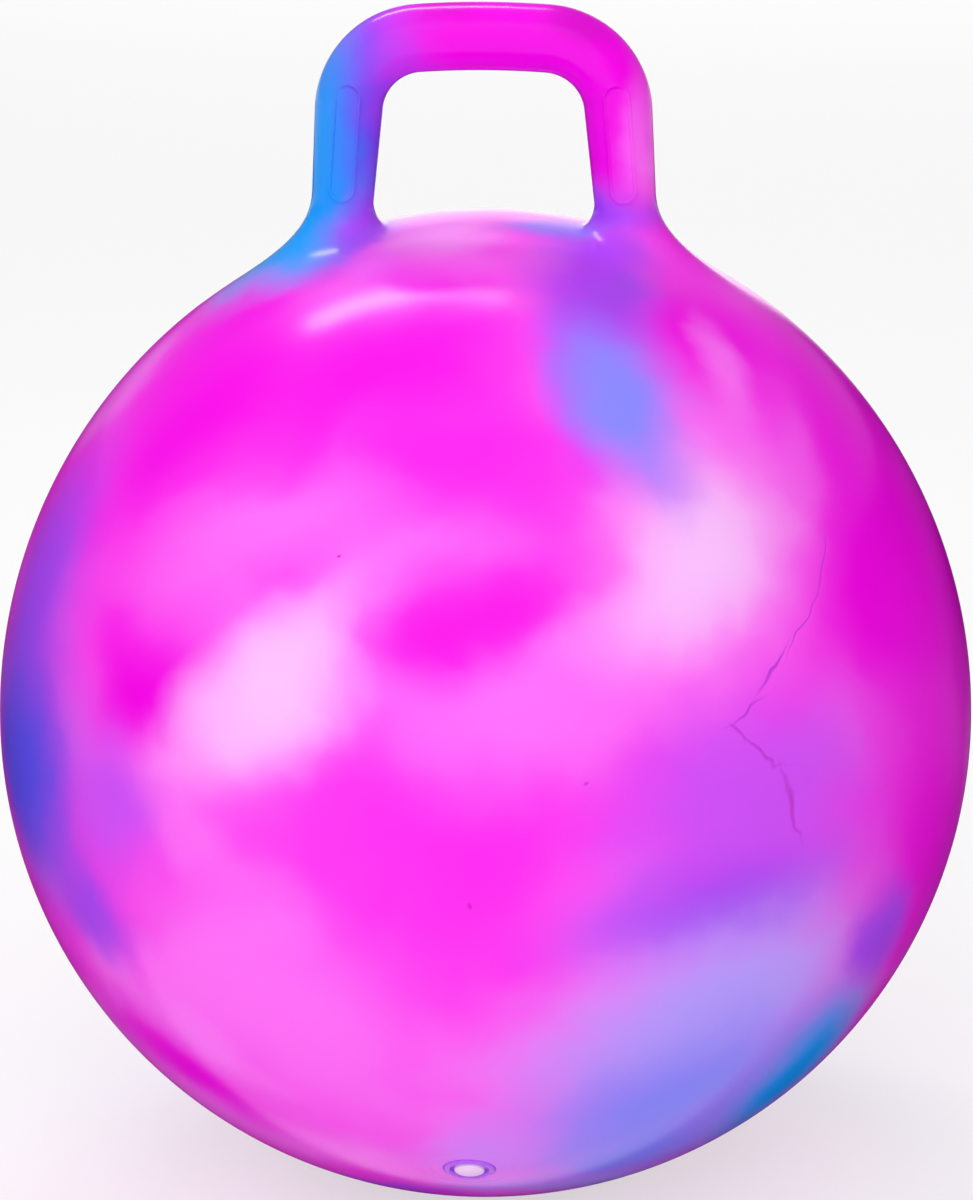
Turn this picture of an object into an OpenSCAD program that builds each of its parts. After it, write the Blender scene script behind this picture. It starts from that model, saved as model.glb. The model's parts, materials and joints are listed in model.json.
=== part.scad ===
// Hopper ball: an air-filled vinyl ball with a D-shaped handle moulded on its crown
// and a push-in air plug in a valve low on its front.
// Lengths are in millimetres. The origin is the middle of the patch that the ball
// stands on, Z is up through the handle, X runs across the handle, and the valve
// faces -Y and down.

/* [Ball] */
// Diameter of the ball round its girth
ball_d = 450; // [400:5:550]
// How much higher the crown stands than the top of a true sphere
crown_rise = 8.2; // [1:0.1:14]
// Angle from the top at which the crown's arc runs into the flank's arc
crown_angle = 42; // [39:1:50]
// Thickness of the ball's skin
skin_wall = 1.2; // [0.8:0.1:3]
// Diameter of the patch that the ball's weight presses flat
patch_d = 64; // [40:1:100]

/* [Handle] */
// Width of the handle across its corners
handle_w = 152; // [140:0.5:175]
// Height of the handle above the crown of the ball
handle_h = 98; // [90:0.5:115]
// Diameter of the tube along the grip bar and round the corners
tube_d = 30.6; // [28:0.2:36]
// Radius of the grip bar's gentle arch, along the middle of the tube
arch_r = 420; // [250:10:900]
// Diameter of each leg at its lower end
leg_d = 28; // [24:0.2:30]
// Radius of the corners along the middle of the tube
corner_r = 34; // [24:0.5:38]
// Angle at which the legs splay outwards as they come down
leg_splay = 4.4; // [0:0.1:8]
// Height above the crown at which each leg runs out into its foot
root_h = 8; // [6:0.1:14]
// Diameter of each foot where it runs into the ball
foot_d = 104; // [92:1:112]
// Distance from the ball's axis to the middle of each foot
foot_x = 92; // [86:0.5:98]
// Wall of the handle's tube
handle_wall = 2.4; // [2:0.1:4]

/* [Flutes] */
// Width of the flat flute along the front and back of each leg
flute_w = 10; // [6:0.2:14]
// Depth of the flutes
flute_depth = 1.2; // [0.6:0.1:1.6]
// How far each flute runs up past the top of its leg
flute_above = 12; // [4:0.5:14]
// How far each flute runs down from the top of its leg
flute_below = 40; // [28:0.5:44]

/* [Valve] */
// Angle of the valve from straight down, towards the front
valve_angle = 42; // [22:1:60]
// Outer diameter of the raised ring round the plug
ring_d = 23; // [20:0.2:28]
// Height of the raised ring above the ball
ring_h = 0.8; // [0.4:0.1:2]
// Diameter of the dish that the plug's head lies in
dish_d = 17; // [15:0.2:19]
// Depth of the dish below the ball
dish_depth = 1.5; // [0.8:0.1:2.5]
// Outer diameter of the neck inside the ball
neck_d = 15; // [12:0.2:18]
// Length of the neck below the dish
neck_len = 18.5; // [15:0.5:25]
// Diameter of the flange bonded inside the skin
flange_d = 36; // [28:0.5:44]
// Thickness of the flange
flange_t = 1.6; // [1:0.1:3]

/* [Plug] */
// Diameter of the plug's head
head_d = 13.5; // [11:0.1:14.5]
// Height of the plug's head
head_h = 3.9; // [2.5:0.1:5]
// Height of the dome on the head
dome_h = 1.7; // [0.8:0.1:2.2]
// Diameter of the plug's shank over its ribs
shank_d = 8.6; // [6:0.1:10]
// Length of the shank under the head
shank_len = 17; // [12:0.5:18]
// Number of ribs on the shank
rib_count = 4; // [2:1:6]
// Depth of the grooves between the ribs
rib_depth = 0.5; // [0.2:0.1:0.9]
// Diameter of the hollow in the shank
core_d = 4; // [2:0.1:4.5]
// Depth of the hollow in the shank
core_len = 14; // [8:0.5:15]

/* [Hidden] */
$fn = 96;

// How far cuts run past the faces that they go through
overrun = 1;
// Angle of one short chord on a curved outline
chord_angle = 3;
// Gap along the weld lines where one moulding meets another
weld_gap = 0.05;
// Gap between the valve's flange and the skin above it
bond_gap = 0.15;
// Gap round the plug's shank and under its head
plug_gap = 0.05;
// How far the end of one length of tube reaches into the next
lap = 0.5;
// How much smaller that end is than the tube that it reaches into
lap_step = 0.05;
// How much smaller a leg's lower end is than the foot that it reaches into
foot_step = 0.15;
// Width of the lead-in at the valve's mouth and at the plug's tip
lead = 0.6;
// Part of each rib's pitch that is rib
rib_share = 0.5;
// Parts of a foot's span over which it keeps the ball's slope and the leg's slope
ball_pull_share = 0.4;
leg_pull_share = 0.26;
// Number of sides and of steps in a foot's skin
foot_sides = 36;
foot_steps = 8;

ball_r = ball_d / 2;
patch_r = patch_d / 2;
centre_z = sqrt(pow(ball_r, 2) - pow(patch_r, 2));

// The crown's arc is centred on the axis above the ball's centre. The flank's arc is
// centred behind the axis, level with the girth, and touches both halves smoothly.
crown_lift = crown_rise / (1 + tan(crown_angle) - 1 / cos(crown_angle));
crown_r = ball_r + crown_rise - crown_lift;
crown_z = centre_z + crown_lift;
flank_back = crown_lift * tan(crown_angle);
top_z = crown_z + crown_r;

tube_r = tube_d / 2;
leg_r = leg_d / 2;
arch_z = top_z + handle_h - tube_r - arch_r;
corner_x = handle_w / 2 - tube_r - corner_r;
arch_turn = asin(corner_x / (arch_r - corner_r));
corner_z = arch_z + (arch_r - corner_r) * cos(arch_turn);

// Each leg runs straight from its corner down to its root, just above the crown.
leg_top = [corner_x + corner_r * cos(leg_splay), 0, corner_z + corner_r * sin(leg_splay)];
leg_up = [-sin(leg_splay), 0, cos(leg_splay)];
leg_out = [cos(leg_splay), 0, sin(leg_splay)];
leg_len = (leg_top[2] - top_z - root_h) / cos(leg_splay);
leg_end = leg_top - leg_len * leg_up;
leg_taper = atan2(tube_r - leg_r, leg_len);

// Each foot runs into the crown along a circle round its own axis.
foot_r = foot_d / 2;
foot_angle = asin(foot_x / crown_r);
foot_up = [sin(foot_angle), 0, cos(foot_angle)];
foot_out = [cos(foot_angle), 0, -sin(foot_angle)];

ring_r = ring_d / 2;
dish_r = dish_d / 2;
neck_r = neck_d / 2;
flange_r = flange_d / 2;
head_r = head_d / 2;
shank_r = shank_d / 2;
core_r = core_d / 2;
bore_r = shank_r + plug_gap;
dish_z = ball_r - dish_depth;
seat_z = dish_z + plug_gap;
tip_z = seat_z - shank_len;
dome_r = (pow(head_r, 2) + pow(dome_h, 2)) / (2 * dome_h);
flange_top = ball_r - skin_wall - bond_gap;
flange_low = flange_top - flange_t;

// Points along an arc about a centre, without its first point
function arc(centre, r, from, to) =
    let (steps = ceil(abs(to - from) / chord_angle), step = (to - from) / steps)
    [for (i = [1 : steps]) centre + r * [cos(from + i * step), sin(from + i * step)]];

function backwards(points) = [for (i = [len(points) - 1 : -1 : 0]) points[i]];

// Half of the ball's outline, from its flat patch up to its crown, inset by a wall
function ball_outline(inset) =
    let (patch_angle = asin((inset - centre_z) / (ball_r - inset)))
    concat(
        [[0, inset], [(ball_r - inset) * cos(patch_angle), inset]],
        arc([0, centre_z], ball_r - inset, patch_angle, 0),
        arc([-flank_back, centre_z], ball_r + flank_back - inset, 0, 90 - crown_angle),
        arc([0, crown_z], crown_r - inset, 90 - crown_angle, 90)
    );

// A point on a smooth curve from a to d that heads for b and comes in from c
function curve(a, b, c, d, t) =
    pow(1 - t, 3) * a + 3 * t * pow(1 - t, 2) * b + 3 * pow(t, 2) * (1 - t) * c + pow(t, 3) * d;

// A point on a foot's skin, inset by a wall: turn goes round it from its outer side, and t
// goes up it from 0 on the ball, where it keeps the ball's slope, to 1 at the leg's end.
function foot_point(turn, t, inset) =
    let (
        crown_turn = asin(foot_r / (crown_r - inset)),
        ball_side = foot_out * cos(turn) + [0, sin(turn), 0],
        leg_side = leg_out * cos(turn) + [0, sin(turn), 0],
        ball_at = [0, 0, crown_z] + (crown_r - inset) * cos(crown_turn) * foot_up + foot_r * ball_side,
        ball_way = sin(crown_turn) * foot_up - cos(crown_turn) * ball_side,
        leg_at = leg_end + (leg_r - inset) * leg_side,
        span = norm(leg_at - ball_at)
    )
    curve(
        ball_at,
        ball_at + ball_pull_share * span * ball_way,
        leg_at - leg_pull_share * span * leg_up,
        leg_at,
        t
    );

// Places its children on a foot's axis, with the crown's centre at zero
module on_foot_axis() {
    translate([0, 0, crown_z])
        rotate([0, foot_angle, 0])
            children();
}

// Places its children on the valve's axis, with the ball's centre at zero
module on_valve_axis() {
    translate([0, 0, centre_z])
        rotate([180 - valve_angle, 0, 0])
            children();
}

module both_sides() {
    children();
    mirror([1, 0, 0])
        children();
}

// A bend of the handle's tube in the plane of the handle, from one angle to another
module tube_bend(centre, bend_r, r, from, to) {
    translate([centre[0], 0, centre[1]])
        rotate([90, 0, 0])
            rotate([0, 0, from])
                rotate_extrude(angle = to - from)
                    translate([bend_r, 0])
                        difference() {
                            circle(r = r);
                            circle(r = r - handle_wall);
                        }
}

// The angle that a lap takes up on a bend
function lap_angle(bend_r) = lap / bend_r * 180 / PI;

module grip_bar() {
    reach = arch_turn + lap_angle(arch_r);
    tube_bend([0, arch_z], arch_r, tube_r - lap_step, 90 - reach, 90 + reach);
}

module corner_bend() {
    tube_bend([corner_x, corner_z], corner_r, tube_r, leg_splay, 90 - arch_turn);
}

// Places its children at the top of a leg, with Z down along it
module on_leg() {
    translate(leg_top)
        rotate([0, 180 - leg_splay, 0])
            children();
}

module leg_tube() {
    top_r = tube_r - lap_step;
    low_r = leg_r - foot_step;
    outer = [[top_r, -lap], [top_r, 0], [low_r, leg_len], [low_r, leg_len + lap]];
    inner = [for (p = backwards(outer)) p - [handle_wall, 0]];
    on_leg()
        rotate_extrude()
            polygon(concat(outer, inner));
}

// A hollow foot, swept from the circle where it meets the ball up to the end of its leg
module foot() {
    rings = foot_steps + 1;
    points = [
        for (inset = [0, handle_wall])
            for (k = [0 : foot_steps])
                for (i = [0 : foot_sides - 1])
                    foot_point(i * 360 / foot_sides, k / foot_steps, inset)
    ];
    function at(layer, k, i) = (layer * rings + k) * foot_sides + i % foot_sides;
    skin = [
        for (k = [0 : foot_steps - 1])
            for (i = [0 : foot_sides - 1])
                each [
                    [at(0, k, i), at(0, k + 1, i), at(0, k + 1, i + 1)],
                    [at(0, k, i), at(0, k + 1, i + 1), at(0, k, i + 1)],
                    [at(1, k, i), at(1, k + 1, i + 1), at(1, k + 1, i)],
                    [at(1, k, i), at(1, k, i + 1), at(1, k + 1, i + 1)]
                ]
    ];
    ends = [
        for (i = [0 : foot_sides - 1])
            each [
                [at(0, foot_steps, i + 1), at(0, foot_steps, i), at(1, foot_steps, i)],
                [at(0, foot_steps, i + 1), at(1, foot_steps, i), at(1, foot_steps, i + 1)],
                [at(0, 0, i), at(0, 0, i + 1), at(1, 0, i + 1)],
                [at(0, 0, i), at(1, 0, i + 1), at(1, 0, i)]
            ]
    ];
    polyhedron(points = points, faces = concat(skin, ends));
}

// A flat flute with round ends, cut into the front of a leg
module flute() {
    on_leg()
        translate([0, flute_depth - tube_r, 0])
            rotate([-leg_taper, 0, 0])
                rotate([90, 0, 0])
                    linear_extrude(height = flute_w) {
                        end_r = flute_w / 2;
                        translate([-end_r, end_r - flute_above])
                            square([flute_w, flute_above + flute_below - flute_w]);
                        translate([0, end_r - flute_above])
                            circle(r = end_r);
                        translate([0, flute_below - end_r])
                            circle(r = end_r);
                    }
}

module ball_skin() {
    color("magenta")
        difference() {
            rotate_extrude()
                polygon(concat(ball_outline(0), backwards(ball_outline(skin_wall))));
            both_sides()
                on_foot_axis()
                    cylinder(h = crown_r + overrun, r = foot_r + weld_gap);
            on_valve_axis()
                cylinder(h = ball_r + overrun, r = ring_r + weld_gap);
        }
}

module handle() {
    color("mediumorchid")
        difference() {
            union() {
                grip_bar();
                both_sides() {
                    corner_bend();
                    leg_tube();
                    foot();
                }
            }
            both_sides() {
                flute();
                mirror([0, 1, 0])
                    flute();
            }
        }
}

// Neck, dish, raised ring and bonded flange, turned about the valve's axis
module valve_seat() {
    ring_mid = (dish_r + ring_r) / 2;
    ring_round = (ring_r - dish_r) / 2;
    ring_top = ball_r + ring_h - ring_round;
    color("orchid")
        on_valve_axis()
            rotate_extrude()
                polygon(concat(
                    [[bore_r, dish_z - neck_len], [bore_r, dish_z - lead], [bore_r + lead, dish_z]],
                    [[dish_r, dish_z], [dish_r, ring_top]],
                    arc([ring_mid, ring_top], ring_round, 180, 0),
                    [[ring_r, sqrt(pow(flange_top, 2) - pow(ring_r, 2))]],
                    arc([0, 0], flange_top, acos(ring_r / flange_top), acos(flange_r / flange_top)),
                    [[flange_r, sqrt(pow(flange_low, 2) - pow(flange_r, 2))]],
                    arc([0, 0], flange_low, acos(flange_r / flange_low), acos(neck_r / flange_low)),
                    [[neck_r, dish_z - neck_len]]
                ));
}

// Domed head and hollow ribbed shank, turned about the valve's axis
module valve_plug() {
    pitch = (shank_len - lead) / rib_count;
    dome_centre = seat_z + head_h - dome_r;
    color("white")
        on_valve_axis()
            rotate_extrude()
                polygon(concat(
                    [[0, tip_z + core_len], [core_r, tip_z + core_len]],
                    [[core_r, tip_z], [shank_r - lead, tip_z]],
                    [
                        for (i = [0 : rib_count - 1])
                            let (low = tip_z + lead + i * pitch, high = low + rib_share * pitch)
                            for (p = [[0, low], [0, high], [rib_depth, high], [rib_depth, low + pitch]])
                                [shank_r - p[0], p[1]]
                    ],
                    [[head_r, seat_z], [head_r, seat_z + head_h - dome_h]],
                    arc([0, dome_centre], dome_r, acos(head_r / dome_r), 90)
                ));
}

ball_skin();
handle();
valve_seat();
valve_plug();
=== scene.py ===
import json
import math

import bmesh
import bpy
from mathutils import Matrix, Vector


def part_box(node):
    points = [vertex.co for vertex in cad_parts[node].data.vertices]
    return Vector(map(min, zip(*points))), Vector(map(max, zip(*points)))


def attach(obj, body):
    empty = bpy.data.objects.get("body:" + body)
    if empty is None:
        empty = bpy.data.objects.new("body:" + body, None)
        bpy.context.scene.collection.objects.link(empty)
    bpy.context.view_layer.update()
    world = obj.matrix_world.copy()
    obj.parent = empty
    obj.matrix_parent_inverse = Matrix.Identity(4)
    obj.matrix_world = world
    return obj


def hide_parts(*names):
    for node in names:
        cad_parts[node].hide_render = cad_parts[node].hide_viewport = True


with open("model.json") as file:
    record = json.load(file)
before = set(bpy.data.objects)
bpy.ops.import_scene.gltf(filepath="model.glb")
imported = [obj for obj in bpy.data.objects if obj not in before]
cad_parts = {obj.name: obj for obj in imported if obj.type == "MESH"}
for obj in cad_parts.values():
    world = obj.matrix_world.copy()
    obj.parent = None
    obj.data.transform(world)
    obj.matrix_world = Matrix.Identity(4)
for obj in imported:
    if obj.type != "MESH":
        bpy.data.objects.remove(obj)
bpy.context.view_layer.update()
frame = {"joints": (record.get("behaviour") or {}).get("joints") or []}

# Sizes of the ball, in metres as in the frame
MM = 0.001
low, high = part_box("ball_skin")
BALL_R = (high.x - low.x) / 2
TOP_Z = high.z
PATCH_R = 32 * MM
MIDDLE = Vector((0, 0, math.sqrt(BALL_R ** 2 - PATCH_R ** 2)))
CROWN_TURN = math.radians(42)
CROWN_RISE = TOP_Z - MIDDLE.z - BALL_R
CROWN_LIFT = CROWN_RISE / (1 + math.tan(CROWN_TURN) - 1 / math.cos(CROWN_TURN))
CROWN_R = BALL_R + CROWN_RISE - CROWN_LIFT
CROWN_MIDDLE = MIDDLE + Vector((0, 0, CROWN_LIFT))
FLANK_BACK = CROWN_LIFT * math.tan(CROWN_TURN)
FLANK_R = BALL_R + FLANK_BACK

# Sizes of the handle
HANDLE_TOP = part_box("handle")[1].z
HANDLE_W = 152 * MM
TUBE_R = 15.3 * MM
LEG_R = 14 * MM
ARCH_R = 420 * MM
CORNER_R = 34 * MM
SPLAY = math.radians(4.4)
ROOT_H = 8 * MM
FOOT_R = 52 * MM
FOOT_X = 92 * MM
BALL_PULL, LEG_PULL = 0.4, 0.26
FLUTE_W = 10 * MM
FLUTE_DEPTH = 1.2 * MM
FLUTE_ABOVE = 12 * MM
FLUTE_BELOW = 40 * MM
FLUTE_EDGE = 0.55 * MM
FLUTE_SIDE_ROOM, FLUTE_END_ROOM = 2 * MM, 3 * MM
BEAD_H = 0.5 * MM
BEAD_W = 0.6 * MM
BEAD_OFF = 0.7 * MM

ARCH_MIDDLE = Vector((0, 0, HANDLE_TOP - TUBE_R - ARCH_R))
CORNER_X = HANDLE_W / 2 - TUBE_R - CORNER_R
ARCH_TURN = math.asin(CORNER_X / (ARCH_R - CORNER_R))
CORNER = ARCH_MIDDLE + (ARCH_R - CORNER_R) * Vector((math.sin(ARCH_TURN), 0, math.cos(ARCH_TURN)))
LEG_OUT = Vector((math.cos(SPLAY), 0, math.sin(SPLAY)))
LEG_UP = Vector((-math.sin(SPLAY), 0, math.cos(SPLAY)))
LEG_TOP = CORNER + CORNER_R * LEG_OUT
LEG_LEN = (LEG_TOP.z - TOP_Z - ROOT_H) / math.cos(SPLAY)
LEG_END = LEG_TOP - LEG_LEN * LEG_UP
FOOT_TURN = math.asin(FOOT_X / CROWN_R)
FOOT_UP = Vector((math.sin(FOOT_TURN), 0, math.cos(FOOT_TURN)))
FOOT_OUT = Vector((math.cos(FOOT_TURN), 0, -math.sin(FOOT_TURN)))
FOOT_SINK = math.asin(FOOT_R / CROWN_R)
ACROSS = Vector((0, 1, 0))

# The valve's axis, from the middle of the ball, and two directions across it
VALVE_OUT = Vector(frame["joints"][0]["axis"]).normalized()
VALVE_SIDE = Vector((1, 0, 0))
VALVE_FRONT = VALVE_OUT.cross(VALVE_SIDE)

# Sizes of the skin at the valve: the lip that turns in round the hole, as radius and depth,
# and the faint rings pressed in round it, as radius and depth
SKIN_WALL = 1.2 * MM
LIP_R = 12.8 * MM
HOLE_R = 11.55 * MM
LIP = ((LIP_R, 0), (12.2 * MM, 0.02 * MM), (11.8 * MM, 0.12 * MM), (HOLE_R, 0.5 * MM), (HOLE_R, SKIN_WALL))
PRESSED_RINGS = ((16.5 * MM, 0.16 * MM), (21 * MM, 0.12 * MM))
PRESSED_W = 0.9 * MM

# Sizes of the valve
RING_R = 11.5 * MM
RING_H = 0.8 * MM
DISH_R = 8.5 * MM
DISH_DEPTH = 1.5 * MM
BORE_R = 4.35 * MM
NECK_R = 7.5 * MM
NECK_LEN = 18.5 * MM
FLANGE_R = 18 * MM
FLANGE_T = 1.6 * MM
BOND_GAP = 0.15 * MM
LEAD = 0.6 * MM
SMALL_ROUND = 0.4 * MM

# Sizes of the plug
HEAD_R = 6.75 * MM
HEAD_H = 3.9 * MM
DOME_H = 1.7 * MM
HEAD_ROUND = 0.6 * MM
HEAD_ROUND_H = 1.75 * MM
SHANK_R = 4.3 * MM
SHANK_LEN = 17 * MM
RIB_COUNT = 4
RIB_DEPTH = 0.5 * MM
RIB_SLOPE = 0.25 * MM
CORE_R = 2 * MM
CORE_LEN = 14 * MM
PLUG_GAP = 0.05 * MM
POLE_R = 0.02 * MM

# Where the photo was taken from: angles in degrees, places in metres, the lens in the photo's pixels
VIEW_AZIMUTH, VIEW_ELEVATION, VIEW_ROLL = 3.0, 16, -0.2
VIEW_DISTANCE = 2.2
VIEW_AIM = Vector((0.0006, 0, 0.276))
VIEW_FOCAL_PX, PHOTO_W_PX = 4756.1, 973

# Faces along each edge of the cube that is blown up to the ball, the reach of the finer nets round
# the valve, rings along the handle, and sides of the turned pieces
GRID = 48
CELL = BALL_R * math.pi / 2 / GRID
VALVE_NETS = (46 * MM, 32 * MM)
VALVE_CELL = 2 * MM
FOOT_STEPS, LEG_STEPS, CORNER_STEPS, BAR_STEPS = 10, 9, 12, 6
TURNED_SIDES = 72

# Small distances for telling places apart, and the height above the ball from which only the handle is left
TINY = 0.001 * MM
NEAR = 0.1 * MM
CLEAR_OF_TOP = 3 * MM


def alone(name, primitive, **how):
    """Adds a primitive with nothing else selected, and names it."""
    bpy.ops.object.select_all(action="DESELECT")
    primitive(**how)
    piece = bpy.context.object
    piece.name = piece.data.name = name
    return piece


def pick(piece, kind, test):
    """Selects, in edit mode, only the vertices, edges or faces that pass a test."""
    bpy.ops.mesh.select_mode(type=kind)
    bpy.ops.mesh.select_all(action="DESELECT")
    mesh = bmesh.from_edit_mesh(piece.data)
    for part in {"VERT": mesh.verts, "EDGE": mesh.edges, "FACE": mesh.faces}[kind]:
        if test(part):
            part.select_set(True)
    bmesh.update_edit_mesh(piece.data)


def shift(piece, place):
    """Moves every vertex, in edit mode, to the place that a rule gives for it."""
    mesh = bmesh.from_edit_mesh(piece.data)
    for v in mesh.verts:
        v.co = place(v.co)
    bmesh.update_edit_mesh(piece.data)


def right_half(p):
    """A point, or its mirror image if it lies on the left."""
    return Vector((abs(p.x), p.y, p.z))


def off_axis(p, start, way):
    """How far a point is from an axis, or a metre if it lies behind the axis's start."""
    d = p - start
    along = d.dot(way)
    return (d - along * way).length if along > 0 else 1


def off_foot(p):
    """How far a point is from the axis of the foot on its own side."""
    return off_axis(right_half(p), CROWN_MIDDLE, FOOT_UP)


def off_valve(p):
    """How far a point is from the valve's axis."""
    return off_axis(p, MIDDLE, VALVE_OUT)


def on_ball(p):
    """The place on the ball's skin straight out from its middle through a point."""
    d = (p - MIDDLE).normalized()
    wide, tall = math.hypot(d.x, d.y), d.z
    if tall <= 0:
        out = min(BALL_R, MIDDLE.z / max(-tall, MM))
    else:
        out = CROWN_LIFT * tall + math.sqrt(CROWN_R ** 2 - (CROWN_LIFT * wide) ** 2)
        if math.atan2(out * wide, out * tall - CROWN_LIFT) > CROWN_TURN:
            out = math.sqrt(FLANK_R ** 2 - (FLANK_BACK * tall) ** 2) - FLANK_BACK * wide
    return MIDDLE + out * d


def on_foot(turn, t):
    """A place on a foot's skin, which runs from the ball at t = 0 up to its leg at t = 1."""
    ball_side = math.cos(turn) * FOOT_OUT + math.sin(turn) * ACROSS
    leg_side = math.cos(turn) * LEG_OUT + math.sin(turn) * ACROSS
    a = CROWN_MIDDLE + CROWN_R * math.cos(FOOT_SINK) * FOOT_UP + FOOT_R * ball_side
    d = LEG_END + LEG_R * leg_side
    span = (d - a).length
    b = a + BALL_PULL * span * (math.sin(FOOT_SINK) * FOOT_UP - math.cos(FOOT_SINK) * ball_side)
    c = d - LEG_PULL * span * LEG_UP
    return (1 - t) ** 3 * a + 3 * t * (1 - t) ** 2 * b + 3 * t ** 2 * (1 - t) * c + t ** 3 * d


def on_ring(middle, out, r):
    """A rule for the places round one ring of the handle's tube."""
    return lambda turn: middle + r * (math.cos(turn) * out + math.sin(turn) * ACROSS)


def tube_rings():
    """Rules for the rings of the handle's tube, from its leg's end to the middle of its bar."""
    rings = []
    for k in range(1, LEG_STEPS + 1):
        up = k / LEG_STEPS
        rings.append(on_ring(LEG_END.lerp(LEG_TOP, up), LEG_OUT, LEG_R + up * (TUBE_R - LEG_R)))
    for k in range(1, CORNER_STEPS + 1):
        a = SPLAY + (math.pi / 2 - ARCH_TURN - SPLAY) * k / CORNER_STEPS
        out = Vector((math.cos(a), 0, math.sin(a)))
        rings.append(on_ring(CORNER + CORNER_R * out, out, TUBE_R))
    for k in range(1, BAR_STEPS + 1):
        a = ARCH_TURN * (1 - k / BAR_STEPS)
        out = Vector((math.sin(a), 0, math.cos(a)))
        rings.append(on_ring(ARCH_MIDDLE + ARCH_R * out, out, TUBE_R))
    return rings


def on_valve(r, sink):
    """A rule for the places round the valve's axis, sunk below the ball's round."""
    out = math.sqrt(BALL_R ** 2 - r ** 2) - sink
    middle = MIDDLE + out * VALVE_OUT
    return lambda turn: middle + r * (math.cos(turn) * VALVE_SIDE + math.sin(turn) * VALVE_FRONT)


def leg_place(p):
    """How far a point is down from the top of its leg, and how far out across the leg."""
    d = right_half(p) - LEG_TOP
    return -d.dot(LEG_UP), d.dot(LEG_OUT)


def on_tube(p):
    """The place on the handle's true round tube next to a point."""
    q = right_half(p)
    down, out = leg_place(p)
    r = TUBE_R
    if down >= 0:
        middle = LEG_TOP - down * LEG_UP
        r += (LEG_R - TUBE_R) * down / LEG_LEN
    elif math.atan2(q.z - CORNER.z, q.x - CORNER.x) < math.pi / 2 - ARCH_TURN:
        middle = CORNER + CORNER_R * Vector((q.x - CORNER.x, 0, q.z - CORNER.z)).normalized()
    else:
        middle = ARCH_MIDDLE + ARCH_R * (Vector((q.x, 0, q.z)) - ARCH_MIDDLE).normalized()
    q = middle + r * (q - middle).normalized()
    return Vector((math.copysign(q.x, p.x), q.y, q.z))


def ease(low, high, x):
    """Rises smoothly from 0 at low to 1 at high."""
    t = min(max((x - low) / (high - low), 0), 1)
    return t * t * (3 - 2 * t)


def bump(x, width):
    """A smooth bump, 1 high at zero."""
    return math.exp(-(x / width) ** 2)


def settled(p):
    """Puts a point of the skin back on the true ball or tube, with the rings pressed in round the valve."""
    if p.z > TOP_Z + CLEAR_OF_TOP and (right_half(p) - LEG_END).dot(LEG_UP) > 0:
        return on_tube(p)
    if off_foot(p) < FOOT_R - 3 * NEAR or off_valve(p) < LIP_R + 2 * NEAR:
        return p
    q = on_ball(p)
    sink = sum(depth * bump(off_valve(q) - r, PRESSED_W) for r, depth in PRESSED_RINGS)
    return q + sink * (MIDDLE - q).normalized()


def by_flute(p):
    """Whether a point lies in or close round a flute."""
    down, out = leg_place(p)
    beside = abs(out) < FLUTE_W / 2 + FLUTE_SIDE_ROOM and abs(p.y) > 0.6 * LEG_R and p.z > TOP_Z
    return beside and -FLUTE_ABOVE - FLUTE_END_ROOM < down < FLUTE_BELOW + FLUTE_END_ROOM


def fluted(p):
    """Presses the flat flutes with round ends into the front and back of the legs, with a bead round each."""
    if not by_flute(p):
        return p
    p = on_tube(p)
    down, out = leg_place(p)
    end = FLUTE_W / 2
    past = max(end - FLUTE_ABOVE - down, down - FLUTE_BELOW + end, 0)
    within = end - math.hypot(out, past)
    inside = ease(0, FLUTE_EDGE, within)
    floor = TUBE_R + (LEG_R - TUBE_R) * down / LEG_LEN - FLUTE_DEPTH
    bead = BEAD_H * bump(within + BEAD_OFF, BEAD_W)
    y = abs(p.y) + bead + inside * (min(abs(p.y), floor) - abs(p.y) - bead)
    return Vector((p.x, math.copysign(y, p.y), p.z))


def cut_hole(piece, start, way, side, front, r, cell):
    """Cuts a hole round an axis, selects its rim, and spaces its vertices' turns evenly round the axis."""
    pick(piece, "FACE", lambda f: off_axis(f.calc_center_median(), start, way) < r)
    bpy.ops.mesh.delete(type="FACE")
    pick(piece, "EDGE", lambda e: e.is_boundary and max(v.co.x for v in e.verts) > NEAR
         and all(off_axis(v.co, start, way) < r + 1.5 * cell for v in e.verts))
    mesh = bmesh.from_edit_mesh(piece.data)
    turn = mesh.verts.layers.float["turn"]
    rim = []
    for v in mesh.verts:
        if v.select:
            d = v.co - start
            rim.append((math.atan2(d.dot(front), d.dot(side)), v.index, v))
    rim.sort()
    whole = all(v.co.x > NEAR for _, _, v in rim)
    step = 2 * math.pi / len(rim) if whole else math.pi / (len(rim) - 1)
    first = sum(a - k * step for k, (a, _, _) in enumerate(rim)) / len(rim) if whole else -math.pi / 2
    for k, (_, _, v) in enumerate(rim):
        v[turn] = first + k * step
    bmesh.update_edit_mesh(piece.data)


def pull_rings(piece, places):
    """Extrudes the selected rim once for each rule, which gives the place for a turn."""
    for place in places:
        bpy.ops.mesh.extrude_region()
        mesh = bmesh.from_edit_mesh(piece.data)
        turn = mesh.verts.layers.float["turn"]
        for v in mesh.verts:
            if v.select:
                v.co = place(v[turn])
        bmesh.update_edit_mesh(piece.data)


def finish_modifier(piece, kind, **settings):
    """Adds a modifier with its settings and applies it."""
    modifier = piece.modifiers.new(kind.title(), kind)
    for name, value in settings.items():
        setattr(modifier, name, value)
    bpy.ops.object.modifier_apply(modifier=modifier.name)


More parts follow.
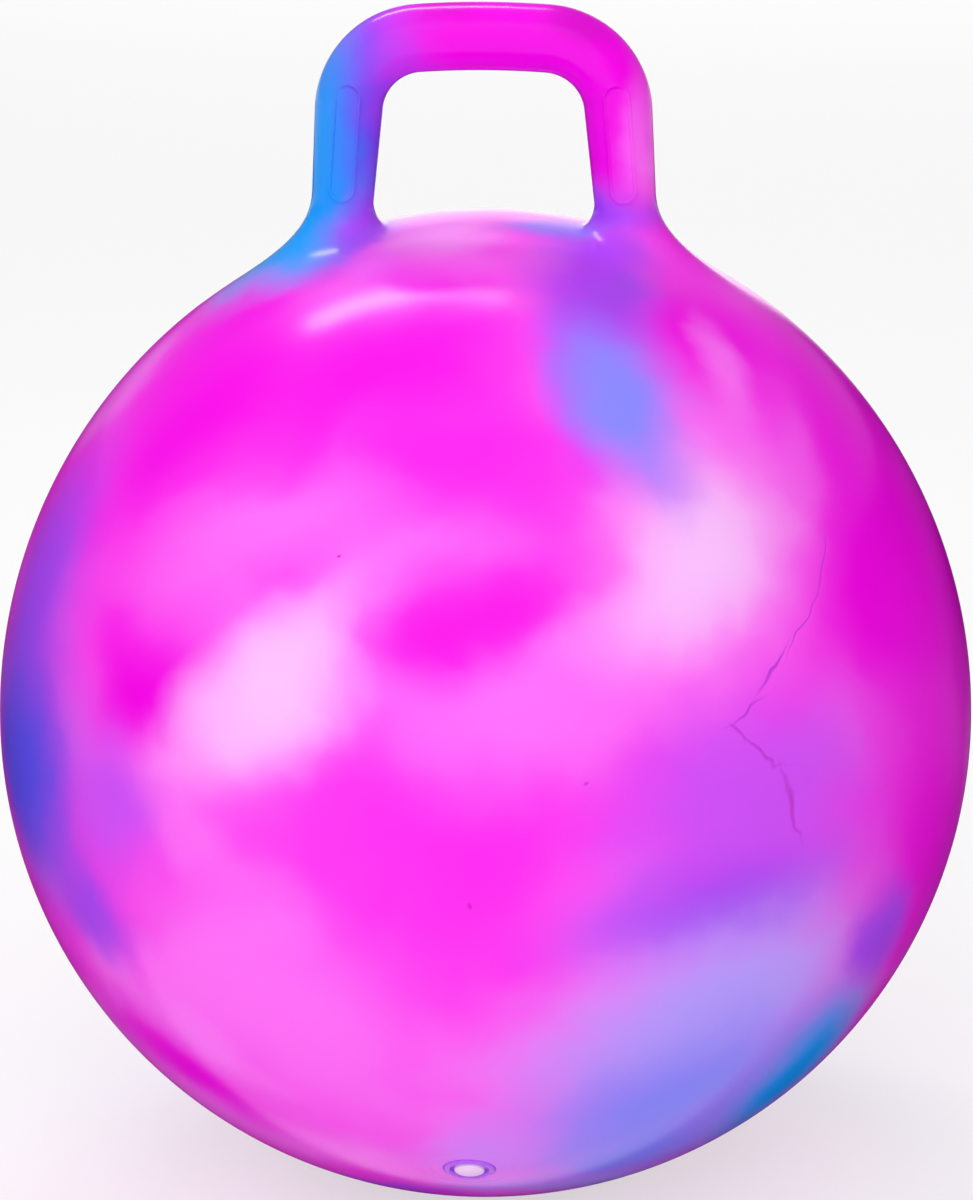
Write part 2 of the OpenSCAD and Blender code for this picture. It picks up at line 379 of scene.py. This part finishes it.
def moulded_skin():
    """The ball and its handle as one moulding, then parted along the feet into two pieces."""
    skin = alone("vinyl_ball", bpy.ops.mesh.primitive_cube_add, size=2)
    bpy.ops.object.mode_set(mode="EDIT")
    bmesh.from_edit_mesh(skin.data).verts.layers.float.new("turn")
    bpy.ops.mesh.subdivide(number_cuts=GRID - 1)
    pick(skin, "VERT", lambda v: v.co.x < -0.5 / GRID)
    bpy.ops.mesh.delete(type="VERT")
    shift(skin, lambda p: on_ball(MIDDLE + Vector([math.tan(c * math.pi / 4) for c in p])))

    # A finer net round the valve, then its hole with a lip that turns in
    for reach in VALVE_NETS:
        pick(skin, "FACE", lambda f: off_valve(f.calc_center_median()) < reach)
        bpy.ops.mesh.subdivide(number_cuts=1)
    shift(skin, on_ball)
    cut_hole(skin, MIDDLE, VALVE_OUT, VALVE_SIDE, VALVE_FRONT, LIP_R + VALVE_CELL / 2, VALVE_CELL)
    pull_rings(skin, [on_valve(r, sink) for r, sink in LIP])

    # The handle drawn up out of the crown, through its foot and leg to the middle of its bar
    cut_hole(skin, CROWN_MIDDLE, FOOT_UP, FOOT_OUT, ACROSS, FOOT_R + 0.7 * CELL, CELL)
    pull_rings(skin, [lambda turn, t=k / FOOT_STEPS: on_foot(turn, t) for k in range(FOOT_STEPS + 1)])
    pull_rings(skin, tube_rings())
    bpy.ops.object.mode_set(mode="OBJECT")
    finish_modifier(skin, "MIRROR", merge_threshold=NEAR / 10)
    finish_modifier(skin, "SUBSURF", levels=1, render_levels=1)

    bpy.ops.object.mode_set(mode="EDIT")
    shift(skin, settled)
    pick(skin, "FACE", lambda f: by_flute(f.calc_center_median()))
    bpy.ops.mesh.subdivide(number_cuts=3)
    shift(skin, fluted)
    bpy.ops.mesh.select_all(action="SELECT")
    bpy.ops.mesh.normals_make_consistent(inside=False)
    bpy.ops.object.mode_set(mode="OBJECT")
    bpy.ops.object.shade_smooth()

    # The two pieces keep the whole skin's normals, so that no line shows between them
    kept = skin.data.attributes.new("whole_normal", "FLOAT_VECTOR", "POINT")
    for v, k in zip(skin.data.vertices, kept.data):
        k.vector = v.normal
    bpy.ops.object.mode_set(mode="EDIT")
    pick(skin, "FACE", lambda f: f.calc_center_median().z > TOP_Z + CLEAR_OF_TOP
         or off_foot(f.calc_center_median()) < FOOT_R)
    bpy.ops.mesh.separate(type="SELECTED")
    bpy.ops.object.mode_set(mode="OBJECT")
    handle = next(o for o in bpy.context.selected_objects if o is not skin)
    handle.name = handle.data.name = "vinyl_handle"
    for piece in (skin, handle):
        mesh = piece.data
        normals = [k.vector for k in mesh.attributes["whole_normal"].data]
        mesh.normals_split_custom_set_from_vertices(normals)
        for name in ("whole_normal", "turn"):
            mesh.attributes.remove(mesh.attributes[name])
    return skin, handle


def turned(name, outline, closed):
    """A piece turned about the valve's axis from an outline of radius and height."""
    r, z = outline[0]
    piece = alone(name, bpy.ops.mesh.primitive_circle_add,
                  vertices=TURNED_SIDES, radius=r, location=(0, 0, z))
    bpy.ops.object.transform_apply()
    bpy.ops.object.mode_set(mode="EDIT")
    bpy.ops.mesh.select_mode(type="VERT")
    bpy.ops.mesh.select_all(action="SELECT")
    for (r0, z0), (r1, z1) in zip(outline, outline[1:]):
        bpy.ops.mesh.extrude_region_move(TRANSFORM_OT_translate={"value": (0, 0, z1 - z0)})
        bpy.ops.transform.resize(value=(r1 / r0, r1 / r0, 1))
    bpy.ops.mesh.select_all(action="SELECT")
    if closed:
        bpy.ops.mesh.remove_doubles(threshold=2 * TINY)
    else:
        for end in (outline[0], outline[-1]):
            pick(piece, "VERT", lambda v: math.hypot(v.co.x, v.co.y) < 1.01 * end[0]
                 and abs(v.co.z - end[1]) < TINY)
            bpy.ops.mesh.merge(type="CENTER")
    bpy.ops.mesh.select_all(action="SELECT")
    bpy.ops.mesh.normals_make_consistent(inside=False)
    bpy.ops.object.mode_set(mode="OBJECT")
    piece.matrix_world = Matrix.Translation(MIDDLE) @ VALVE_OUT.to_track_quat("Z", "Y").to_matrix().to_4x4()
    bpy.ops.object.transform_apply()
    bpy.ops.object.shade_smooth_by_angle(angle=math.radians(35))
    return piece


def arc(r0, z0, r, start, end, steps):
    """Points of an outline along an arc about r0, z0, from one angle in degrees to another."""
    turns = [math.radians(start + (end - start) * k / steps) for k in range(steps + 1)]
    return [(r0 + r * math.cos(a), z0 + r * math.sin(a)) for a in turns]


def sphere_level(sphere_r, r):
    """The height of a sphere about the ball's middle at a radius from the valve's axis."""
    return math.sqrt(sphere_r ** 2 - r ** 2)


def valve_pieces():
    """The valve with its neck, ring and flange, and the plug that is pushed into it."""
    dish = BALL_R - DISH_DEPTH
    ring_round = (RING_R - DISH_R) / 2
    flange_top = BALL_R - SKIN_WALL - BOND_GAP
    flange_low = flange_top - FLANGE_T
    seat = [(BORE_R, dish - NECK_LEN), (BORE_R, dish - LEAD)]
    seat += arc(BORE_R + LEAD, dish - LEAD, LEAD, 180, 90, 4)
    seat += arc(DISH_R - SMALL_ROUND, dish + SMALL_ROUND, SMALL_ROUND, -90, 0, 4)
    seat += arc(DISH_R + ring_round, BALL_R + RING_H - ring_round, ring_round, 180, 0, 14)
    seat += [(r, sphere_level(flange_top, r)) for r in (RING_R, FLANGE_R)]
    seat += [(r, sphere_level(flange_low, r)) for r in (FLANGE_R, NECK_R)]
    seat += [(NECK_R, dish - NECK_LEN), seat[0]]

    rest = dish + PLUG_GAP
    tip = rest - SHANK_LEN
    pitch = (SHANK_LEN - LEAD) / RIB_COUNT
    groove_r = SHANK_R - RIB_DEPTH
    dome_r = (HEAD_R ** 2 + DOME_H ** 2) / (2 * DOME_H)
    plug = [(POLE_R, tip + CORE_LEN), (CORE_R, tip + CORE_LEN), (CORE_R, tip), (SHANK_R - LEAD, tip)]
    for k in range(RIB_COUNT):
        z = tip + LEAD + k * pitch
        half = z + pitch / 2
        plug += [(SHANK_R, z), (SHANK_R, half), (groove_r, half + RIB_SLOPE), (groove_r, z + pitch)]
    plug += arc(HEAD_R - SMALL_ROUND, rest + SMALL_ROUND, SMALL_ROUND, -90, 0, 4)
    plug += arc(HEAD_R - HEAD_ROUND, rest + HEAD_ROUND_H, HEAD_ROUND, 0, 60, 5)
    plug += arc(0, rest + HEAD_H - dome_r, dome_r, 66, 89.9, 10)
    return turned("valve_ring", seat, True), turned("air_plug", plug, False)


def linear(hex_colour):
    """An sRGB hex colour as linear red, green, blue and alpha."""
    parts = [int(hex_colour[k:k + 2], 16) / 255 for k in (1, 3, 5)]
    return [c / 12.92 if c <= 0.04045 else ((c + 0.055) / 1.055) ** 2.4 for c in parts] + [1]


def add(tree, kind, settings=None, inputs=None):
    """Adds a node, with its settings and with its inputs set or linked."""
    made = tree.nodes.new(kind)
    for name, value in (settings or {}).items():
        setattr(made, name, value)
    for name, value in (inputs or {}).items():
        if isinstance(value, bpy.types.NodeSocket):
            tree.links.new(value, made.inputs[name])
        else:
            made.inputs[name].default_value = value
    return made


def new_material(name):
    """A material with an empty node tree, and that tree."""
    material = bpy.data.materials.new(name)
    material.use_nodes = True
    material.node_tree.nodes.clear()
    return material, material.node_tree


# The colours of the marbling, and of the painted shade and painted light laid in with it
MAGENTA = "#F600E6"
HOT = "#FC22EC"
ROSE = "#FF3CEF"
PINK = "#FF6CF6"
BLUSH = "#FF98FA"
PALE = "#FCC0FE"
ORCHID = "#D050F8"
# A lilac made paler than the marbling's own, as painted light for the dim underside
LILAC_WITH_PAINTED_LIGHT = "#DC84FF"
VIOLET = "#AE48F6"
BLUE = "#5E50F2"
PERIWINKLE = "#8A88FF"
LAVENDER = "#B89CFF"
AZURE = "#149EFC"
PLUM = "#DC00CE"
VEIN = "#C43CDC"

# The marbling, laid on in this order, with a painted shade, a painted highlight and some painted
# light among it: azimuth from the front and latitude in degrees, half length and half width in
# millimetres, tilt in degrees, softness and colour
BALL_SWIRLS = (
    (110, 40, 70, 40, 40, 1.0, MAGENTA),
    (150, 55, 70, 42, 20, 1.0, MAGENTA),
    (-150, 50, 60, 36, -30, 1.0, HOT),
    (-115, 42, 60, 34, 50, 1.0, MAGENTA),
    (160, -20, 60, 34, -20, 1.0, HOT),
    (-165, -30, 60, 36, 20, 1.0, MAGENTA),
    (165, 22, 56, 26, 30, 1.0, PINK),
    (-140, -28, 50, 30, 40, 1.0, PINK),
    (125, 15, 50, 24, 45, 1.0, PALE),
    (-160, 12, 60, 28, 35, 1.0, PALE),
    (-120, 8, 60, 36, 60, 0.9, ORCHID),
    (-135, 28, 46, 22, -60, 0.9, VIOLET),
    (-100, -12, 50, 30, 70, 0.9, BLUE),
    (175, -5, 56, 16, 25, 0.9, VIOLET),
    (130, -38, 56, 28, 15, 0.9, LAVENDER),
    (105, -25, 60, 34, 30, 0.9, PERIWINKLE),
    (-110, -42, 56, 26, 20, 0.9, VIOLET),
    (150, -58, 60, 26, 0, 1.0, ORCHID),
    (-150, -60, 56, 24, 10, 1.0, PINK),
    (-170, 68, 50, 22, 60, 0.9, VIOLET),
    (-172, 50, 34, 20, -70, 0.9, PERIWINKLE),
    (-14, 58, 60, 46, 24, 0.9, MAGENTA),
    (-49, 48, 66, 44, 54, 0.9, MAGENTA),
    (-65, 59, 51, 30, 89, 1.0, MAGENTA),
    (57, 59, 43, 42, 81, 0.9, MAGENTA),
    (81, 45, 59, 50, 86, 0.9, MAGENTA),
    (64, -7, 57, 46, -51, 1.0, MAGENTA),
    # Painted shade: this deep plum down the right edge of the ball stands in for the light falling off there
    (86, 18, 51, 34, 49, 1.0, PLUM),
    (2, 1, 54, 56, -38, 1.0, HOT),
    (-3, 46, 49, 30, 10, 1.0, HOT),
    (-43, 19, 40, 30, -10, 1.0, HOT),
    (-40, 14, 35, 18, 26, 0.9, MAGENTA),
    (-28, 36, 48, 20, 24, 1.0, PINK),
    (8, 18, 47, 34, 6, 1.0, PINK),
    (33, 27, 59, 40, 11, 0.9, PINK),
    (-21, -19, 61, 40, -25, 1.0, PINK),
    # Partly the marbling's own pink, partly painted light: this swirl low on the left is made paler to stand
    # in for light on the dim underside
    (-21, -46, 26, 18, -33, 1.0, PINK),
    (30, 33, 48, 30, 17, 0.9, PALE),
    # Painted highlight: this thin pale pink streak on the upper right stands in for a soft lamp mirrored in
    # the gloss
    (51, 53, 30, 9, 61, 1.0, PINK),
    (68, 21, 82, 62, 63, 0.9, MAGENTA),
    (71, 44, 59, 18, 45, 0.8, MAGENTA),
    (64, 28, 62, 34, 54, 0.7, MAGENTA),
    (-22, 18, 44, 22, 46, 1.0, PALE),
    (3, 29, 53, 22, 25, 0.9, HOT),
    (2, 27, 38, 12, 20, 1.0, MAGENTA),
    (-67, 22, 51, 36, -79, 1.0, VIOLET),
    (-64, 1, 56, 46, -46, 0.9, BLUE),
    (-43, 1, 29, 26, -55, 1.0, ORCHID),
    (-50, -13, 27, 20, -16, 1.0, VIOLET),
    (21, 57, 47, 14, 80, 1.0, ORCHID),
    (38, 68, 70, 23, 62, 0.9, VIOLET),
    (28, 51, 38, 23, -85, 0.9, PERIWINKLE),
    (33, 4, 58, 44, 1, 0.9, ORCHID),
    (30, -7, 57, 20, 7, 1.0, VIOLET),
    (31, -21, 75, 42, 21, 0.8, LAVENDER),
    (29, -35, 62, 38, 17, 0.9, PERIWINKLE),
    (54, -37, 56, 32, 78, 0.9, AZURE),
    (58, -16, 19, 22, 48, 1.0, VIOLET),
    (-21, -60, 32, 12, 8, 1.0, ORCHID),
    (-26, 82, 22, 18, 25, 0.9, BLUSH),
    (74, 81, 24, 13, -55, 0.9, PERIWINKLE),
    (40, 19, 12, 0.7, 42, 0.9, VEIN),
    (35, 15, 11, 0.6, 23, 0.9, VEIN),
    (36, 10, 14, 0.6, -42, 0.9, VEIN),
    (40, 3, 15, 0.7, -75, 0.9, VEIN),
    # Partly the marbling's own lilac, partly painted light: these two swirls round the valve are made paler
    # to stand in for light on the dim underside
    (2, -43, 28, 24, 36, 1.0, LILAC_WITH_PAINTED_LIGHT),
    (6, -55, 27, 14, 4, 1.0, LILAC_WITH_PAINTED_LIGHT),
    (30, -47, 39, 34, 8, 1.0, PERIWINKLE),
    (28, -58, 30, 14, -8, 1.0, LAVENDER),
    (51, 28, 10, 0.5, 55, 0.9, VEIN),
    (46, 23, 15, 0.5, 43, 0.9, VEIN),
    (33, 13, 5, 0.6, -65, 0.9, VEIN),
    (-16, -65, 28, 6, -19, 1.0, VIOLET),
    (27, -65, 42, 8, 23, 1.0, BLUE),
    (-40, -36, 62, 20, -30, 1.0, MAGENTA),
    (1.5, -4, 1.1, 0.9, 0, 0.9, PLUM),
    (13, 8, 1.2, 0.8, 30, 0.9, VEIN),
    (-17, 33, 1.1, 0.8, 0, 0.9, PLUM),
)

# The same for the handle, with the place across the handle and above the ball's top in millimetres
HANDLE_SWIRLS = (
    (0, 66, 130, 60, 0, 0.3, MAGENTA),
    (-56, 48, 54, 28, 78, 0.8, VIOLET),
    (-62, 30, 52, 18, 86, 0.8, BLUE),
    (-75, 34, 52, 17, 86, 0.9, AZURE),
    (-98, -8, 46, 22, 24, 0.8, AZURE),
    (-56, -2, 18, 10, 40, 0.9, VIOLET),
    (71, 24, 34, 9, -86, 0.9, PINK),
    (86, -8, 30, 20, -30, 0.9, MAGENTA),
    (52, 2, 18, 10, 0, 0.9, VIOLET),
    (-17, 97, 13, 6, 0, 1.0, PLUM),
    (44, 91, 16, 8, -20, 1.0, PLUM),
)


# Sizes of the vinyl's patterns in millimetres: each warp's size and reach, the clouds, the uneven gloss,
# and the swell of the skin with its height. A swirl goes at least this deep through the skin
WARPS = ((100, 14), (34, 9), (10, 2.2))
CLOUD_SIZE = 80
SHEEN_SIZE = 24
SWELL_SIZE, SWELL_H = 42, 0.35
SWIRL_DEPTH = 30


def marbled_vinyl():
    """Soft PVC, moulded by turning a mould with swirled colours in it. It gives the eye cloudy colours with
    soft edges and a few fine veins, under an even wet gloss that mirrors the lamps a little wavily. A few
    swirls are painted light: a painted shade down the right edge, a painted highlight on the upper right,
    and paler colours on the underside."""
    material, tree = new_material("marbled_soft_vinyl")
    place = add(tree, "ShaderNodeTexCoord").outputs["Object"]
    for size, reach in WARPS:
        noise = add(tree, "ShaderNodeTexNoise",
                    inputs={"Vector": place, "Scale": 1 / (size * MM), "Detail": 1})
        centred = add(tree, "ShaderNodeVectorMath", {"operation": "SUBTRACT"},
                      {0: noise.outputs["Color"], 1: (0.5, 0.5, 0.5)})
        drift = add(tree, "ShaderNodeVectorMath", {"operation": "SCALE"},
                    {0: centred.outputs[0], "Scale": 2 * reach * MM})
        moved = add(tree, "ShaderNodeVectorMath", {"operation": "ADD"}, {0: place, 1: drift.outputs[0]})
        place = moved.outputs[0]
    cloud = add(tree, "ShaderNodeTexNoise",
                inputs={"Vector": place, "Scale": 1 / (CLOUD_SIZE * MM), "Detail": 1.5})
    cloudy = add(tree, "ShaderNodeMapRange", {"interpolation_type": "SMOOTHSTEP"},
                 {"Value": cloud.outputs["Fac"], "From Min": 0.35, "From Max": 0.65})
    colour = add(tree, "ShaderNodeMix", {"data_type": "RGBA"},
                 {0: cloudy.outputs[0], 6: linear(ROSE), 7: linear(PINK)}).outputs[2]
    swirls = []
    for azimuth, latitude, length, width, tilt, soft, hue in BALL_SWIRLS:
        a, b = math.radians(azimuth), math.radians(latitude)
        out = Vector((math.sin(a) * math.cos(b), -math.cos(a) * math.cos(b), math.sin(b)))
        east = Vector((math.cos(a), math.sin(a), 0))
        swirls.append((on_ball(MIDDLE + out), east, out, length, width, tilt, soft, hue))
    for x, z, length, width, tilt, soft, hue in HANDLE_SWIRLS:
        middle = Vector((x * MM, 0, TOP_Z + z * MM))
        swirls.append((middle, Vector((1, 0, 0)), -ACROSS, length, width, tilt, soft, hue))
    for middle, east, out, length, width, tilt, soft, hue in swirls:
        turn = Matrix((east, out.cross(east), out)).transposed()
        turn = turn @ Matrix.Rotation(math.radians(tilt), 3, "Z")
        reach = (1 + soft) * Vector((length, width, max(length, width, SWIRL_DEPTH))) * MM
        near = add(tree, "ShaderNodeMapping", {"vector_type": "TEXTURE"},
                   {"Vector": place, "Location": middle, "Rotation": turn.to_euler(), "Scale": reach})
        core = add(tree, "ShaderNodeTexGradient", {"gradient_type": "SPHERICAL"}, {"Vector": near.outputs[0]})
        cover = add(tree, "ShaderNodeMapRange", {"interpolation_type": "SMOOTHERSTEP"},
                    {"Value": core.outputs["Fac"], "From Min": 0, "From Max": 2 * soft / (1 + soft)})
        colour = add(tree, "ShaderNodeMix", {"data_type": "RGBA"},
                     {0: cover.outputs[0], 6: colour, 7: linear(hue)}).outputs[2]
    still = add(tree, "ShaderNodeTexCoord").outputs["Object"]
    sheen = add(tree, "ShaderNodeTexNoise",
                inputs={"Vector": still, "Scale": 1 / (SHEEN_SIZE * MM), "Detail": 2})
    rough = add(tree, "ShaderNodeMapRange",
                inputs={"Value": sheen.outputs["Fac"], "To Min": 0.16, "To Max": 0.25})
    swell = add(tree, "ShaderNodeTexNoise",
                inputs={"Vector": still, "Scale": 1 / (SWELL_SIZE * MM), "Detail": 1})
    wavy = add(tree, "ShaderNodeBump",
               inputs={"Height": swell.outputs["Fac"], "Strength": 1.0, "Distance": SWELL_H * MM})
    shader = add(tree, "ShaderNodeBsdfPrincipled", inputs={
        "Base Color": colour, "Roughness": rough.outputs[0], "Normal": wavy.outputs[0],
        "IOR": 1.45, "Specular IOR Level": 0.22})
    add(tree, "ShaderNodeOutputMaterial", inputs={"Surface": shader.outputs[0]})
    return material


PLASTIC_CLOUD_SIZE = 5


def plain_plastic(name, dark, light, low, high):
    """A smooth moulded plastic, faintly clouded between two near shades, with a little uneven gloss."""
    material, tree = new_material(name)
    place = add(tree, "ShaderNodeTexCoord").outputs["Object"]
    cloud = add(tree, "ShaderNodeTexNoise",
                inputs={"Vector": place, "Scale": 1 / (PLASTIC_CLOUD_SIZE * MM), "Detail": 3})
    colour = add(tree, "ShaderNodeMix", {"data_type": "RGBA"},
                 {0: cloud.outputs["Fac"], 6: linear(dark), 7: linear(light)})
    rough = add(tree, "ShaderNodeMapRange",
                inputs={"Value": cloud.outputs["Fac"], "To Min": low, "To Max": high})
    shader = add(tree, "ShaderNodeBsdfPrincipled", inputs={
        "Base Color": colour.outputs[2], "Roughness": rough.outputs[0], "Specular IOR Level": 0.3})
    add(tree, "ShaderNodeOutputMaterial", inputs={"Surface": shader.outputs[0]})
    return material


# Sizes of the studio in metres: the floor, the two cards that stand beside the ball,
# and the one that lies under the back of it, a hair above the floor
FLOOR_SIZE = 80
CARD_X, CARD_H = 0.36, 0.4
CARD_NEAR, CARD_FAR = -1.4, 1.7
LOW_CARD_X, LOW_CARD_NEAR = 0.45, -0.095
HAIR = 0.5 * MM

# How bright the world is, and how much of the floor the camera and mirrors see as plain white
WORLD_LIGHT = 0.2
PAPER_GLOW = 0.6

# Each lamp's name, kind, place, the direction of its length, energy and settings
LAMPS = (
    ("top_light", "SUN", (-0.2, -0.3, 2.2), (1, 0, 0), 1.15, {"angle": math.radians(90)}),
    ("front_light", "SUN", (-0.1, -2.0, 1.3), (1, 0, 0), 1.62, {"angle": math.radians(60)}),
    ("back_panel", "AREA", (0, 4.6, 0.85), (1, 0, 0), 12,
     {"shape": "RECTANGLE", "size": 1.8, "size_y": 1.7}),
    ("strip_light", "AREA", (-0.37, 0.79, 1.67), (0.83, 0, 0.22), 7.0,
     {"shape": "RECTANGLE", "size": 0.86, "size_y": 0.13}),
)


def white_paper():
    """Matt white paper: an even white with the soft shadow of the ball on it."""
    material, tree = new_material("white_paper")
    paper = add(tree, "ShaderNodeBsdfPrincipled",
                inputs={"Base Color": linear("#F8F8F8"), "Roughness": 0.9, "Specular IOR Level": 0.0})
    glow = add(tree, "ShaderNodeEmission", inputs={"Color": (1, 1, 1, 1), "Strength": 1.0})
    path = add(tree, "ShaderNodeLightPath")
    seen = add(tree, "ShaderNodeMath", {"operation": "MAXIMUM"},
               {0: path.outputs["Is Camera Ray"], 1: path.outputs["Is Glossy Ray"]})
    seen = add(tree, "ShaderNodeMath", {"operation": "MAXIMUM"},
               {0: seen.outputs[0], 1: path.outputs["Is Transmission Ray"]})
    share = add(tree, "ShaderNodeMath", {"operation": "MULTIPLY"}, {0: seen.outputs[0], 1: PAPER_GLOW})
    shader = add(tree, "ShaderNodeMixShader",
                 inputs={0: share.outputs[0], 1: paper.outputs[0], 2: glow.outputs[0]})
    add(tree, "ShaderNodeOutputMaterial", inputs={"Surface": shader.outputs[0]})
    return material


def black_card():
    """Matt black card: it shows only in what the vinyl mirrors, where it keeps the ball's edges deep."""
    material, tree = new_material("black_card")
    shader = add(tree, "ShaderNodeBsdfPrincipled",
                 inputs={"Base Color": linear("#101010"), "Roughness": 0.9, "Specular IOR Level": 0.0})
    add(tree, "ShaderNodeOutputMaterial", inputs={"Surface": shader.outputs[0]})
    return material


def studio():
    """A white paper floor under soft even light, with dark cards round the ball for it to mirror."""
    world = bpy.data.worlds.new("studio")
    bpy.context.scene.world = world
    world.use_nodes = True
    tree = world.node_tree
    tree.nodes.clear()
    light = add(tree, "ShaderNodeBackground", inputs={"Color": (1, 1, 1, 1), "Strength": WORLD_LIGHT})
    add(tree, "ShaderNodeOutputWorld", inputs={"Surface": light.outputs[0]})

    floor = alone("floor", bpy.ops.mesh.primitive_plane_add, size=FLOOR_SIZE)
    floor.data.materials.append(white_paper())

    black = black_card()
    cards = [[(x, y, z) for z in (0, CARD_H) for y in (CARD_NEAR, CARD_FAR)] for x in (-CARD_X, CARD_X)]
    cards.append([(x, y, HAIR) for y in (LOW_CARD_NEAR, CARD_FAR) for x in (-LOW_CARD_X, LOW_CARD_X)])
    for corners in cards:
        card = alone("card", bpy.ops.mesh.primitive_plane_add, size=1)
        for v, corner in zip(card.data.vertices, corners):
            v.co = corner
        card.data.materials.append(black)
        card.visible_camera = card.visible_diffuse = card.visible_shadow = card.visible_transmission = False

    for name, kind, place, along, energy, settings in LAMPS:
        bpy.ops.object.light_add(type=kind, location=place)
        lamp = bpy.context.object
        lamp.name = name
        back = (Vector(place) - MIDDLE).normalized()
        up = back.cross(Vector(along)).normalized()
        lamp.rotation_euler = Matrix((up.cross(back), up, back)).transposed().to_euler()
        lamp.data.energy = energy
        for key, value in settings.items():
            setattr(lamp.data, key, value)
        lamp.visible_glossy = kind == "AREA"


def camera():
    """Stands where the photo was taken from: a little right of the front and above, with a long lens."""
    turn, tilt, roll = (math.radians(a) for a in (VIEW_AZIMUTH, VIEW_ELEVATION, VIEW_ROLL))
    back = Vector((math.sin(turn) * math.cos(tilt), -math.cos(turn) * math.cos(tilt), math.sin(tilt)))
    level = Vector((math.cos(turn), math.sin(turn), 0))
    up = back.cross(level)
    right = math.cos(roll) * level + math.sin(roll) * up
    up = back.cross(right)
    bpy.ops.object.camera_add(location=VIEW_AIM + VIEW_DISTANCE * back)
    eye = bpy.context.object
    eye.matrix_world = Matrix.Translation(eye.location) @ Matrix((right, up, back)).transposed().to_4x4()
    eye.data.sensor_fit = "HORIZONTAL"
    eye.data.lens = eye.data.sensor_width * VIEW_FOCAL_PX / PHOTO_W_PX
    bpy.context.scene.camera = eye


ball, handle = moulded_skin()
ring, plug = valve_pieces()
vinyl = marbled_vinyl()

# Soft vinyl from a polished mould: an even, lightly clouded violet with the skin's own gloss
ring_vinyl = plain_plastic("violet_soft_vinyl", "#AE54F0", "#CC74FA", 0.22, 0.34)

# Moulded polyethylene: a waxy, faintly pink white with a softer shine than the vinyl
plug_plastic = plain_plastic("white_polyethylene", "#F4D6F6", "#FFE6FF", 0.3, 0.42)

dressed = (
    (ball, "ball", ("ball_skin",), "marbled_vinyl", vinyl),
    (handle, "ball", ("handle",), "marbled_vinyl", vinyl),
    (ring, "ball", ("valve_seat",), "valve_vinyl", ring_vinyl),
    (plug, "plug", ("valve_plug",), "plug_plastic", plug_plastic),
)
for piece, body, nodes, slot, material in dressed:
    piece.data.materials.clear()
    piece.data.materials.append(material)
    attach(piece, body)
    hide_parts(*nodes)
studio()
camera()
bpy.context.scene.view_settings.view_transform = "Standard"
